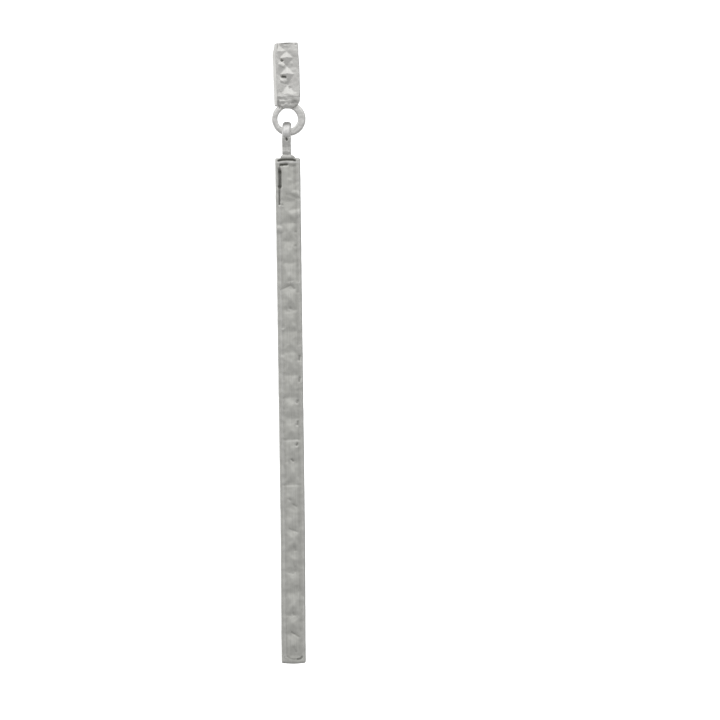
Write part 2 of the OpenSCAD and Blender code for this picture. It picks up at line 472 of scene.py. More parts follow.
def make_lip(front):
    """Lip under the carving: level with the block on its left, and narrower towards its right and back."""
    bottom = HEAD_TOP - HEAD_H - LIP_H
    height = LIP_H + LIP_SINK
    z = bottom + height / 2
    size = (HEAD_W - LIP_STEP, HEAD_T - 2 * LIP_STEP, height)
    lip = block("lip", size, (HEAD_X - LIP_STEP / 2, MIDDLE_Y, z))
    bevel_side(lip, front + LIP_STEP)
    cut(lip, (0, 0, HEAD_TOP - HEAD_H - LIP_H * LIP_TURN), (0, 0, 1))
    narrower, thinner = 1 - LIP_NARROW / HEAD_W, 1 - 2 * LIP_THIN / HEAD_T
    widen_points(lip, lambda p: p.z < bottom + NEAR, narrower, thinner, (HEAD_LEFT, MIDDLE_Y, z))
    round_edges(lip, LIP_ROUND, 3, lambda a, b: abs(a.z - b.z) > NEAR)
    round_edges(lip, LIP_EDGE, 2, lambda a, b: max(a.z, b.z) < bottom + NEAR)
    return lip


def make_solder(front):
    """Solder that fills the corner between the lip's front and the loop's, down to the loop's hole."""
    bottom = HEAD_TOP - HEAD_H - LIP_H
    low, high = bottom - SOLDER_DOWN, bottom + SOLDER_UP
    near = front + SOLDER_FRONT
    middle = (LOOP_X, (near + MIDDLE_Y) / 2, (low + high) / 2)
    solder = block("solder", (SOLDER_W, MIDDLE_Y - near, high - low), middle)
    widen_points(solder, lambda p: p.z < low + NEAR, SOLDER_NARROW, 1, (LOOP_X, MIDDLE_Y, low))
    move_points(solder, lambda p: p.z < low + NEAR and p.y < near + NEAR, y=SOLDER_SLOPE)
    return solder


def ring(name, radius, hole, thick, edges, middle, turn, shift=0.0):
    """Flat ring with rounded edges: a disc whose two faces are inset, joined through and bevelled."""
    deselect()
    bpy.ops.mesh.primitive_cylinder_add(vertices=RING_SIDES, radius=radius * MM, depth=thick * MM)
    piece = bpy.context.object
    piece.name = piece.data.name = name
    pick(piece, "FACE", lambda place, normal: abs(normal.z) > FACING)
    bpy.ops.mesh.inset(thickness=(radius - hole) * MM, use_individual=True)
    move(x=shift)
    bpy.ops.mesh.bridge_edge_loops()
    done()

    def on_rim(a, b, rim, x):
        on_circle = all(abs(math.hypot(p.x - x, p.y) - rim) < CLOSE for p in (a, b))
        return on_circle and abs(a.z - b.z) < CLOSE

    round_edges(piece, edges[0], RING_SEGMENTS, lambda a, b: on_rim(a, b, radius, 0.0))
    round_edges(piece, edges[1], RING_SEGMENTS, lambda a, b: on_rim(a, b, hole, shift))
    piece.rotation_euler = turn
    piece.location = Vector(middle) * MM
    fix_place(piece)
    return piece


def make_loop():
    edges = (LOOP_ROUND, LOOP_HOLE_ROUND)
    middle = (LOOP_X, MIDDLE_Y, LOOP_Z)
    turn = (math.pi / 2, 0, 0)
    return ring("loop", LOOP_R, LOOP_HOLE_R, LOOP_T, edges, middle, turn, -LOOP_HOLE_SHIFT)


# Pushes of the head's outline: spots across and down, then reach and move to the right and up
HEAD_PUSHES = [
    ([(HEAD_LEFT, 0.0), (HEAD_RIGHT, 0.0)], 1.2, 0.0, -0.06),
    ([(-0.1, 0.0)], 0.7, 0.0, -0.05),
    ([(HEAD_LEFT, 0.1)], 1.05, 0.22, 0.0),
    ([(HEAD_RIGHT, 2.6), (HEAD_RIGHT, 3.3), (HEAD_RIGHT, 4.0), (HEAD_RIGHT, 4.6)], 1.4, 0.05, 0.0),
    ([(-0.45, 7.0), (0.35, 7.0)], 0.5, 0.0, 0.05),
]

# Low points of the head's carving: across and down, how deep, and how far each is moved aside
LOW_POINTS = [
    (FIELD_MIDDLE, CROSSINGS[0], 0.24, 0.0),
    (FIELD_MIDDLE, CROSSINGS[1], 0.24, 0.0),
    (FIELD_MIDDLE, CROSSINGS[2], 0.26, 0.0),
    (FIELD_LEFT, 0.0, 0.26, -0.24),
    (FIELD_RIGHT, 0.0, 0.12, 0.12),
    (FIELD_LEFT, PEAKS[0], 0.15, 0.0),
    (FIELD_RIGHT, PEAKS[0], 0.12, 0.0),
    (FIELD_LEFT, PEAKS[1], 0.16, 0.0),
    (FIELD_RIGHT, PEAKS[1], 0.12, 0.0),
    (FIELD_LEFT, FIELD_BOTTOM, 0.13, 0.0),
    (FIELD_RIGHT, FIELD_BOTTOM, 0.06, 0.12),
]

# Its high points between them, in the same columns
HIGH_POINTS = [
    (FIELD_MIDDLE, 0.0, 0.19, 0.0),
    (FIELD_LEFT, CROSSINGS[0], 0.0, -0.22),
    (FIELD_LEFT, CROSSINGS[1], 0.07, 0.0),
    (FIELD_LEFT, CROSSINGS[2], 0.1, 0.0),
    (FIELD_RIGHT, CROSSINGS[0], 0.08, 0.1),
    (FIELD_RIGHT, CROSSINGS[1], 0.1, 0.1),
    (FIELD_RIGHT, CROSSINGS[2], 0.1, 0.1),
]

# Marks in the head's carving: points across and down, then width, reach, depth and how dark it is painted,
# as painted shade in its pits and creases, with some stain
HEAD_MARKS = [
    ([(-0.48, 1.86), (-0.36, 1.91)], 0.045, 0.16, 0.11, 0.85),
    ([(-0.62, 2.28), (-0.35, 2.42)], 0.05, 0.25, -0.07, 0.0),
    ([(0.5, 2.2), (0.3, 2.42)], 0.05, 0.25, -0.03, 0.0),
    ([(-0.45, 3.56), (-0.27, 3.6), (-0.13, 3.65)], 0.055, 0.18, 0.14, 0.95),
    ([(-0.5, 3.98), (-0.15, 4.12)], 0.05, 0.28, -0.07, 0.0),
    ([(-0.62, 4.1), (-0.5, 4.8)], 0.15, 0.3, 0.0, 0.12),
    ([(0.22, 4.76), (0.28, 4.78)], 0.04, 0.13, 0.05, 0.36),
    ([(1.06, 0.28)], 0.03, 0.14, 0.05, 0.35),
    ([(-0.1, 0.16), (0.35, 0.18)], 0.04, 0.2, 0.03, 0.12),
    ([(-0.9, 5.85), (1.1, 5.85)], 0.1, 0.25, 0.0, 0.14),
    ([(-0.97, 5.93), (-0.97, 6.5)], 0.06, 0.22, 0.04, 0.33),
    ([(-0.76, 5.96), (-0.38, 5.98), (-0.17, 6.06)], 0.04, 0.18, 0.03, 0.2),
    ([(-0.72, 6.3), (-0.38, 6.27)], 0.05, 0.22, -0.03, 0.0),
    ([(0.04, 6.27), (0.45, 6.25)], 0.05, 0.22, -0.025, 0.0),
    ([(-0.14, 6.45)], 0.05, 0.22, -0.03, 0.0),
    ([(-0.95, 6.42), (-0.5, 6.4)], 0.08, 0.2, 0.02, 0.28),
    ([(0.55, 6.13), (0.8, 6.2), (0.78, 6.4), (0.5, 6.38)], 0.12, 0.25, 0.02, 0.38),
    ([(0.1, 6.52)], 0.04, 0.15, 0.03, 0.25),
    ([(-0.87, 6.82)], 0.04, 0.15, 0.04, 0.35),
    ([(-0.62, 6.76)], 0.06, 0.2, -0.04, 0.0),
    ([(-1.02, 5.36), (-0.86, 5.42)], 0.07, 0.2, 0.0, 0.22),
    ([(1.02, 5.38), (1.15, 5.52)], 0.07, 0.2, 0.0, 0.16),
    ([(-0.75, 8.57), (-0.8, 8.87)], 0.05, 0.15, 0.03, 0.35),
]


def make_post():
    deselect()
    bpy.ops.mesh.primitive_cylinder_add(
        vertices=POST_SIDES, radius=POST_R * MM, depth=POST_LEN * MM,
        location=(0, POST_LEN / 2 * MM, 0), rotation=(-math.pi / 2, 0, 0))
    post = bpy.context.object
    post.name = post.data.name = "post_wire"
    fix_place(post)
    round_edges(post, POST_TIP, 5, lambda a, b: min(a.y, b.y) > POST_LEN - CLOSE)
    return post


# Bar

def make_bar():
    bar = block("bar", (BAR_W, BAR_T, BAR_LEN), (BAR_X, MIDDLE_Y, BAR_TOP - BAR_LEN / 2))
    widen_points(bar, lambda p: p.z > BAR_TOP - NEAR, BAR_TAPER, 1, (BAR_X, MIDDLE_Y, BAR_TOP))
    round_edges(bar, BAR_ROUND, 3)
    chamfer_top(bar)
    cut_channel(bar)
    raise_pyramids(bar)
    bar = fuse([bar], BAR_GRAIN)
    group_front(bar, BAR_FRONT, CHANNEL_DEPTH + SMOOTHED_BEHIND)
    smooth(bar, BAR_SMOOTHING, "front")
    round_end(bar)
    swell(bar, BAR_FRONT_SWELLS, "front")
    swell(bar, BAR_SWELLS)
    press(bar, BAR_MARKS, BAR_FRONT, MARKS_X, BAR_TOP)
    stain_and_shade(bar, BAR_MARKS, BAR_FRONT, MARKS_X, BAR_TOP)
    spots = places(bar)
    # Painted highlights: a bright line across the top edge and one down the left rim
    top_line = fade(LINE_GONE - np.abs(BAR_TOP - spots[:, 2] - TOP_LINE) / TOP_LINE_W) * TOP_HIGHLIGHT
    rim_line = fade(LINE_GONE - np.abs(spots[:, 0] - MARKS_X - RIM_LINE) / RIM_LINE_W) * RIM_HIGHLIGHT
    keep(bar, "polish_and_highlight", np.maximum(top_line, rim_line * (spots[:, 1] < BAR_FRONT + FRONT_SKIN)))
    find_recesses(bar)
    bow(bar)
    return bar


def round_end(bar):
    """Draws the lower corners up a little, so that the end is domed."""
    def in_corner(p):
        at_side = abs(abs(p.x - BAR_X) - BAR_W / 2) < END_CORNER_W
        return at_side and p.z < BAR_TOP - BAR_LEN + END_CORNER_H

    move_points(bar, in_corner, z=END_RISE, reach=END_REACH)


def bow(bar):
    """The bar hangs a hair to the right of its eye, but for its lower end, which curves back."""
    edit_all(bar)
    move(x=BAR_ASIDE)
    done()
    move_points(bar, lambda p: p.z < BAR_TOP - BAR_LEN + BOW_END, x=-BOW, reach=BOW_REACH)


def chamfer_top(bar):
    """Slopes the front's upper edge back, where the bar was filed for the solder."""
    cut(bar, (0, 0, BAR_TOP - TOP_CHAMFER), (0, 0, 1))
    move_points(
        bar, lambda p: p.z > BAR_TOP - NEAR and p.y < BAR_FRONT + 2 * TOP_CHAMFER, y=TOP_CHAMFER)


def cut_channel(bar):
    pick(bar, "FACE", lambda middle, normal: normal.y < -FACING)
    bpy.ops.mesh.inset(thickness=(RIM_W - BAR_ROUND) * MM)
    middle = (BAR_X, BAR_FRONT, BAR_TOP - BAR_LEN / 2)
    length = (BAR_LEN - 2 * RIM_END) / (BAR_LEN - 2 * RIM_W)
    widen(1, 1, length, middle)
    bpy.ops.mesh.extrude_region_move(TRANSFORM_OT_translate={"value": (0, CHANNEL_DEPTH * MM, 0)})
    channel_w = BAR_W - 2 * RIM_W
    widen(1 - 2 * CHANNEL_DRAFT / channel_w, 1, 1 - 2 * CHANNEL_DRAFT / BAR_LEN, middle)
    done()


def raise_pyramids(bar):
    """Cuts the channel's floor at each line, and raises a point in the middle of each cell."""
    channel_top = BAR_TOP - RIM_END
    channel_len = BAR_LEN - 2 * RIM_END
    for share in PYRAMID_LINES:
        lean = chance.uniform(-LINE_LEAN, LINE_LEAN)
        cut(bar, (BAR_X, 0, channel_top - share * channel_len), (lean, 0, 1))
    floor_y = BAR_FRONT + CHANNEL_DEPTH
    pick(bar, "FACE", lambda middle, normal: normal.y < -FACING and abs(middle.y - floor_y) < CLOSE)
    bpy.ops.mesh.poke(offset=PYRAMID_H * MM)
    done()
    edges = [0, *PYRAMID_LINES, 1]
    for above, below in zip(edges, edges[1:]):
        z = channel_top - (above + below) / 2 * channel_len

        def is_point(p):
            raised = p.y < floor_y - PYRAMID_H + CLOSE
            return raised and abs(p.z - z) < POINT_NEAR and abs(p.x - BAR_X) < POINT_NEAR

        aside = POINT_SHIFT + chance.uniform(-POINT_ASIDE, POINT_ASIDE)
        inwards = chance.uniform(-POINT_HIGHER, POINT_LOWER)
        up = chance.uniform(-POINT_UP, POINT_UP)
        move_points(bar, is_point, x=aside, y=inwards, z=up)


# Marks in the bar's carving, in the columns of HEAD_MARKS. Their dark amounts are painted shade: the dark
# band on the filed top, the shadowed crease down the left, the dark lines down both edges and shade in pits,
# with some stain
BAR_MARKS = [
    ([(-0.9, 0.25), (-0.6, 0.18), (0.0, 0.15), (0.6, 0.18), (0.82, 0.24)], 0.1, 0.2, 0.03, 1.0),
    ([(-0.7, 0.71), (-0.4, 0.69), (0.0, 0.68)], 0.05, 0.17, 0.16, 0.9),
    ([(-0.75, 0.8), (-0.83, 1.15)], 0.02, 0.15, 0.06, 0.5),
    ([(-0.83, 1.15), (-0.79, 1.5)], 0.05, 0.2, 0.12, 0.75),
    ([(-0.79, 1.4), (-0.77, 2.2), (-0.82, 3.0)], 0.1, 0.22, 0.16, 0.85),
    ([(-0.83, 3.0), (-0.85, 3.9), (-0.86, 4.85)], 0.05, 0.18, 0.12, 0.75),
    ([(-0.6, 4.9), (-0.5, 4.95)], 0.05, 0.15, 0.03, 0.25),
    ([(0.75, 1.0), (0.8, 2.6)], 0.12, 0.3, 0.03, 0.2),
    ([(0.3, 1.2), (0.3, 2.0)], 0.12, 0.3, 0.03, 0.12),
    ([(-0.45, 0.95), (-0.2, 1.6)], 0.1, 0.5, -0.03, 0.0),
    ([(-0.1, 3.75), (0.65, 4.0), (1.15, 4.2)], 0.1, 0.3, 0.012, 0.22),
    ([(-0.5, 4.2), (0.9, 4.3)], 0.22, 0.3, 0.0, 0.2),
    ([(-0.5, 4.9), (0.7, 5.0)], 0.36, 0.3, 0.0, 0.22),
    ([(0.75, 3.7), (1.05, 3.8)], 0.1, 0.4, -0.07, 0.0),
    ([(0.6, 5.95), (1.02, 5.88)], 0.12, 0.55, -0.085, 0.0),
    ([(-1.05, 7.4), (-0.85, 7.45)], 0.1, 0.45, -0.08, 0.0),
    ([(0.82, 7.75)], 0.05, 0.22, 0.04, 0.35),
    ([(0.76, 9.25)], 0.05, 0.25, 0.04, 0.3),
    ([(0.97, 10.93), (0.99, 12.9)], 0.06, 0.3, 0.03, 0.2),
    ([(-0.9, 13.8), (-0.35, 13.55), (0.1, 13.36), (0.35, 13.42), (0.58, 13.7)], 0.04, 0.2, 0.015, 0.33),
    ([(0.0, 13.15), (0.35, 13.1)], 0.06, 0.25, -0.04, 0.0),
    ([(-0.3, 13.9), (0.45, 13.9)], 0.2, 0.3, 0.0, 0.12),
    ([(0.97, 14.05)], 0.06, 0.3, 0.03, 0.25),
    ([(0.1, 15.7), (0.2, 15.85)], 0.05, 0.2, 0.04, 0.3),
    ([(-0.45, 15.6), (-0.2, 16.15), (0.45, 16.05)], 0.03, 0.2, 0.01, 0.08),
    ([(-0.7, 18.0)], 0.05, 0.2, -0.04, 0.0),
    ([(1.05, 18.3), (1.0, 19.5)], 0.06, 0.3, 0.03, 0.2),
    ([(1.03, 20.75), (0.97, 21.2)], 0.05, 0.2, 0.05, 0.45),
    ([(-0.72, 20.9), (-0.76, 22.3)], 0.06, 0.3, -0.03, 0.0),
    ([(1.02, 23.05), (0.93, 23.4)], 0.05, 0.2, 0.06, 0.45),
    ([(-0.76, 23.5), (-0.76, 24.9)], 0.06, 0.3, -0.03, 0.0),
    ([(0.8, 25.45), (0.7, 25.65)], 0.06, 0.2, 0.06, 0.4),
    ([(0.74, 27.65), (0.7, 27.95)], 0.05, 0.2, 0.06, 0.42),
    ([(-0.78, 29.55), (0.9, 29.55)], 0.04, 0.25, 0.02, 0.0),
    ([(0.67, 29.95), (0.6, 30.1)], 0.06, 0.2, 0.07, 0.55),
    ([(0.05, 31.6), (0.22, 31.75)], 0.05, 0.2, 0.06, 0.55),
    ([(-0.4, 34.05), (0.3, 34.0)], 0.05, 0.25, 0.01, 0.15),
    ([(-0.5, 34.4), (0.5, 34.4)], 0.12, 0.2, 0.0, 0.12),
    ([(-0.95, 34.3), (1.0, 34.3)], 0.03, 0.2, 0.02, 0.0),
    ([(-0.25, 35.75), (-0.12, 35.85)], 0.05, 0.2, 0.03, 0.25),
    ([(0.15, 36.3), (0.45, 36.5)], 0.05, 0.2, 0.03, 0.33),
    ([(-0.3, 38.85), (0.1, 39.0), (0.55, 39.2)], 0.04, 0.18, 0.02, 0.3),
    ([(0.18, 40.75), (0.33, 41.15)], 0.06, 0.22, 0.03, 0.25),
    ([(0.27, 42.9), (0.27, 43.3)], 0.05, 0.2, 0.03, 0.25),
    ([(-0.4, 43.5), (0.1, 43.55)], 0.03, 0.15, 0.02, 0.22),
    ([(-0.3, 43.8), (0.35, 43.8)], 0.18, 0.3, 0.0, 0.12),
    ([(0.5, 45.0), (1.15, 45.9)], 0.08, 0.35, 0.03, 0.2),
    ([(0.05, 47.7), (0.15, 47.9)], 0.05, 0.2, 0.03, 0.25),
    ([(-0.5, 48.15), (0.5, 48.15)], 0.16, 0.3, 0.0, 0.17),
    ([(-0.12, 49.66), (0.3, 49.93), (0.68, 50.18)], 0.06, 0.22, 0.02, 0.46),
    ([(0.1, 51.3), (0.35, 51.75)], 0.05, 0.2, 0.03, 0.28),
    ([(-0.8, 52.33), (0.8, 52.35)], 0.16, 0.2, 0.0, 0.42),
    ([(-0.6, 52.2), (-0.2, 52.45), (0.2, 52.5)], 0.05, 0.18, 0.01, 0.56),
    ([(0.45, 52.5), (0.75, 52.45), (0.92, 52.28)], 0.09, 0.18, 0.01, 0.75),
    ([(0.0, 3.0), (0.0, 8.3)], 0.9, 0.4, 0.0, 0.1),
    ([(-1.07, 6.0), (-1.07, 52.2)], 0.07, 0.1, 0.0, 0.17),
    ([(0.95, 3.0), (0.95, 52.2)], 0.1, 0.1, 0.0, 0.18),
]


# Eye of the bar

def make_eye():
    edges = (EYE_ROUND, EYE_HOLE_ROUND)
    middle = (BAR_X, MIDDLE_Y, EYE_Z)
    turn = (0, math.pi / 2, 0)
    eye = ring("bar_eye", EYE_R, EYE_R - EYE_WALL, EYE_W, edges, middle, turn)
    foot_top = BAR_TOP + FOOT_H
    eye = fuse([eye, make_neck(foot_top - NECK_SINK), make_foot(foot_top)], EYE_GRAIN)
    smooth(eye, EYE_SMOOTHING)
    crown = EYE_Z + EYE_R - EYE_CROWN
    move_points(eye, lambda p: p.z > crown, x=EYE_ASIDE, z=EYE_RISE, reach=EYE_CROWN_REACH)
    swell(eye, EYE_SWELLS)
    front = MIDDLE_Y - NECK_T / 2
    press(eye, EYE_MARKS, front, BAR_X, EYE_Z)
    stain_and_shade(eye, EYE_MARKS, front, BAR_X, EYE_Z)
    down = EYE_Z - places(eye)[:, 2]
    # Lighter colour on the eye's upper part, and about half as much on the rest of the piece
    keep(eye, "polish_and_highlight", np.maximum(fade((EYE_LIGHTER_END - down) / EYE_LIGHTER_FADE), NECK_LIGHTER))
    find_recesses(eye)
    return eye


def make_neck(bottom):
    """Stem that starts as deep as the ring under its hole and gets thinner downwards."""
    top = EYE_Z - GUSSET_DOWN
    neck = block("neck", (EYE_W, NECK_T, top - bottom), (BAR_X, MIDDLE_Y, (top + bottom) / 2))
    cut(neck, (0, 0, top - GUSSET_H), (0, 0, 1))
    ring_depth = 2 * math.sqrt(EYE_R ** 2 - GUSSET_DOWN ** 2)
    widen_points(neck, lambda p: p.z > top - NEAR, 1, ring_depth / NECK_T, (BAR_X, MIDDLE_Y, top))

    def upright_or_lowest(a, b):
        return abs(a.z - b.z) > NEAR or max(a.z, b.z) < bottom + NEAR

    round_edges(neck, NECK_ROUND, 4, upright_or_lowest)
    return neck


def make_foot(top):
    """Solder that spreads from the neck over the bar's end."""
    height = FOOT_H + FOOT_SINK
    turn = top - FOOT_H * FOOT_TURN
    middle = (BAR_X, MIDDLE_Y, top)
    foot = block("foot", (FOOT_TOP_W, FOOT_TOP_T, height), (BAR_X, MIDDLE_Y, top - height / 2))
    cut(foot, (0, 0, turn), (0, 0, 1))
    wider_middle, wider_end = FOOT_MIDDLE_W / FOOT_TOP_W, FOOT_W / FOOT_MIDDLE_W
    widen_points(foot, lambda p: p.z < turn + NEAR, wider_middle, FOOT_DEEPER_MIDDLE, middle)
    move_points(foot, lambda p: p.z < turn + NEAR, x=FOOT_ASIDE)
    widen_points(foot, lambda p: p.z < turn - NEAR, wider_end, FOOT_DEEPER_END, middle)
    round_edges(foot, FOOT_ROUND, 3, lambda a, b: max(a.z, b.z) > top - height + CLOSE)
    return foot


# Marks on the eye, the neck and the foot, in the columns of HEAD_MARKS, but down from the eye's middle.
# Their dark amounts are painted shade on the top of the eye and a painted shadow at the foot, over the bar's
# end
EYE_MARKS = [
    ([(-0.35, -0.95), (0.35, -0.95)], 0.28, 0.3, 0.0, 0.4),
    ([(0.02, 0.7), (0.04, 0.8)], 0.05, 0.14, 0.16, 0.9),
    ([(-0.34, 1.1), (-0.34, 1.9)], 0.03, 0.2, 0.02, 0.08),
    ([(0.24, 1.1), (0.26, 1.9)], 0.03, 0.2, 0.03, 0.12),
    ([(-0.4, 2.22), (0.4, 2.22)], 0.05, 0.2, 0.04, 0.36),
    ([(-0.5, 2.55), (0.5, 2.55)], 0.12, 0.2, 0.0, 0.3),
    ([(-0.65, 2.7), (0.65, 2.7)], 0.1, 0.2, 0.0, 0.55),
    ([(0.56, 2.6), (0.72, 2.66)], 0.07, 0.16, 0.04, 0.6),
]


# Materials

# Patterns in the silver: their size, how many times as long as wide streaks and file lines are, and
# between which values of the noise the soft ones go from none to full
CLOUD_SIZE, SPECK_SIZE, STREAK_SIZE, STREAK_LENGTH = 1.1, 0.16, 0.13, 50
PORE_SIZE, LINE_SIZE, LINE_LENGTH, PATCH_SIZE = 0.09, 0.05, 40, 0.7
CLOUD_RANGE, STREAK_RANGE, PATCH_RANGE = (0.35, 0.65), (0.3, 0.7), (0.3, 0.7)

# How fast recesses get darker with painted shade, how ragged the painted shade and stain of the marks is and
# where it starts, and the grain's parts and depth
RECESS_POWER, STAIN_AND_SHADE_RAGGED, STAIN_AND_SHADE_START = 1.5, 0.5, 0.12
PORE_SHARE, LINE_SHARE, PATCH_SHARE = 0.5, 0.4, 0.6
GRAIN_DEPTH = 0.004

# Roughness: how far it goes under and over the metal's own, and where the metal is dullest
SMOOTHER, ROUGHER, DULL_ROUGHNESS = 0.04, 0.08, 0.6


def node_group(name, inputs, outputs):
    """Starts a node group, and gives its tree, its inputs and its output node."""
    tree = bpy.data.node_groups.new(name, "ShaderNodeTree")
    for title, kind, value in inputs:
        socket = tree.interface.new_socket(title, in_out="INPUT", socket_type="NodeSocket" + kind)
        socket.default_value = value
    for title, kind in outputs:
        tree.interface.new_socket(title, in_out="OUTPUT", socket_type="NodeSocket" + kind)
    return tree, tree.nodes.new("NodeGroupInput").outputs, tree.nodes.new("NodeGroupOutput").inputs


def feed(tree, socket, value):
    """Links a socket to another, or sets its value."""
    if isinstance(value, bpy.types.NodeSocket):
        tree.links.new(value, socket)
    else:
        socket.default_value = value


def math_node(tree, operation, *values):
    node = tree.nodes.new("ShaderNodeMath")
    node.operation = operation
    node.use_clamp = operation in ("ADD", "SUBTRACT", "MULTIPLY_ADD")
    for socket, value in zip(node.inputs, values):
        feed(tree, socket, value)
    return node.outputs[0]


def mix_colour(tree, share, a, b, blend="MIX"):
    node = tree.nodes.new("ShaderNodeMix")
    node.data_type = "RGBA"
    node.blend_type = blend
    feed(tree, node.inputs["Factor"], share)
    feed(tree, node.inputs["A"], a)
    feed(tree, node.inputs["B"], b)
    return node.outputs["Result"]


def attribute(tree, name):
    node = tree.nodes.new("ShaderNodeAttribute")
    node.attribute_name = name
    return node.outputs["Fac"]


def noise(tree, size, detail, stretch=(1, 1, 1)):
    """Noise on object coordinates with features of the given size in millimetres."""
    where = tree.nodes.new("ShaderNodeTexCoord")
    place = tree.nodes.new("ShaderNodeMapping")
    tree.links.new(where.outputs["Object"], place.inputs["Vector"])
    place.inputs["Scale"].default_value = [1 / (size * MM * share) for share in stretch]
    pattern = tree.nodes.new("ShaderNodeTexNoise")
    tree.links.new(place.outputs["Vector"], pattern.inputs["Vector"])
    pattern.inputs["Scale"].default_value = 1
    pattern.inputs["Detail"].default_value = detail
    return pattern.outputs["Fac"]


def spread(tree, value, low, high, new_low=0.0, new_high=1.0):
    """Takes values between low and high to the new range."""
    node = tree.nodes.new("ShaderNodeMapRange")
    titles = ("Value", "From Min", "From Max", "To Min", "To Max")
    for title, setting in zip(titles, (value, low, high, new_low, new_high)):
        feed(tree, node.inputs[title], setting)
    return node.outputs[0]


def make_tarnish_and_shade_group():
    """Colour of silver: darker in recesses and at the marks, as painted shade with some tarnish and stain,
    cloudy on its faces, and lighter where painted highlights and polish are.
    """
    tree, given, result = node_group(
        "tarnish_and_painted_shade",
        [("Metal", "Color", (0.8, 0.8, 0.8, 1)), ("Bright", "Color", (0.92, 0.915, 0.9, 1)),
         ("Dark", "Color", (0.1, 0.1, 0.09, 1)), ("In Recesses", "Float", 0.5), ("On Edges", "Float", 0.3),
         ("Clouds", "Float", 0.1), ("Streaks", "Float", 0.0)],
        [("Color", "Color"), ("Dullness and shade", "Float")])
    clouds = spread(tree, noise(tree, CLOUD_SIZE, 3), *CLOUD_RANGE)
    specks = noise(tree, SPECK_SIZE, 3)
    # Recesses get darker: painted shade, with some tarnish
    recess = math_node(tree, "POWER", attribute(tree, "recess"), RECESS_POWER)
    recess = math_node(tree, "MULTIPLY", recess, given["In Recesses"])
    speckled = math_node(tree, "SUBTRACT", specks, 0.5)
    # Painted shade and stain of the marks, ragged at their edges
    ragged = math_node(tree, "MULTIPLY_ADD", speckled, STAIN_AND_SHADE_RAGGED, attribute(tree, "stain_and_shade"))
    in_stain_and_shade = spread(tree, attribute(tree, "stain_and_shade"), 0.0, STAIN_AND_SHADE_START)
    stained_and_shaded = math_node(tree, "MULTIPLY", ragged, in_stain_and_shade)
    cloudy = math_node(tree, "MULTIPLY", clouds, given["Clouds"])
    streaks = spread(tree, noise(tree, STREAK_SIZE, 2, (1, 1, STREAK_LENGTH)), *STREAK_RANGE)
    cloudy = math_node(tree, "MULTIPLY_ADD", streaks, given["Streaks"], cloudy)
    dull_and_shaded = math_node(tree, "MAXIMUM", math_node(tree, "ADD", recess, cloudy), stained_and_shaded)
    worn = math_node(tree, "MULTIPLY", attribute(tree, "worn"), given["On Edges"])
    bright = math_node(tree, "MAXIMUM", attribute(tree, "polish_and_highlight"), worn)
    metal = mix_colour(tree, bright, given["Metal"], given["Bright"])
    feed(tree, result["Color"], mix_colour(tree, dull_and_shaded, metal, given["Dark"]))
    feed(tree, result["Dullness and shade"], dull_and_shaded)
    return tree


def make_grain_group():
    """Fine skin of cast metal, with file lines along the piece, as a height and as a change of gloss."""
    tree, given, result = node_group(
        "grain", [("Lines", "Float", 0.5)], [("Height", "Float"), ("Gloss", "Float")])
    lines = noise(tree, LINE_SIZE, 2, (1, 1, LINE_LENGTH))
    lined = math_node(tree, "MULTIPLY", lines, given["Lines"])
    pores = math_node(tree, "MULTIPLY", noise(tree, PORE_SIZE, 4), PORE_SHARE)
    patches = spread(tree, noise(tree, PATCH_SIZE, 2), *PATCH_RANGE)
    patches = math_node(tree, "MULTIPLY", patches, PATCH_SHARE)
    feed(tree, result["Height"], math_node(tree, "ADD", pores, lined))
    feed(tree, result["Gloss"], math_node(tree, "MULTIPLY_ADD", lined, LINE_SHARE, patches))
    return tree


def silver(name, metal, roughness, in_recesses, clouds, streaks, lines, bump):
    """Silver from the two groups, with its own tone, gloss and depth of grain."""
    material = bpy.data.materials.new(name)
    material.use_nodes = True
    tree = material.node_tree
    shader = tree.nodes["Principled BSDF"]
    shader.inputs["Metallic"].default_value = 1.0
    tone = tree.nodes.new("ShaderNodeGroup")
    tone.node_tree = TARNISH_AND_SHADE
    tone.inputs["Metal"].default_value = (*metal, 1)
    tone.inputs["In Recesses"].default_value = in_recesses
    tone.inputs["Clouds"].default_value = clouds
    tone.inputs["Streaks"].default_value = streaks
    skin = tree.nodes.new("ShaderNodeGroup")
    skin.node_tree = GRAIN
    skin.inputs["Lines"].default_value = lines
    tree.links.new(tone.outputs["Color"], shader.inputs["Base Color"])
    glossy = spread(tree, skin.outputs["Gloss"], 0.0, 1.0, roughness - SMOOTHER, roughness + ROUGHER)
    rough = spread(tree, tone.outputs["Dullness and shade"], 0.0, 1.0, glossy, DULL_ROUGHNESS)
    tree.links.new(rough, shader.inputs["Roughness"])
    relief = tree.nodes.new("ShaderNodeBump")
    relief.inputs["Strength"].default_value = bump
    relief.inputs["Distance"].default_value = GRAIN_DEPTH * MM
    tree.links.new(skin.outputs["Height"], relief.inputs["Height"])
    tree.links.new(relief.outputs["Normal"], shader.inputs["Normal"])
    return material


def finish(piece, body, material, node):
    use(piece)
    bpy.ops.object.shade_smooth()
    piece.data.materials.clear()
    piece.data.materials.append(material)
    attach(piece, body)
    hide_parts(node)


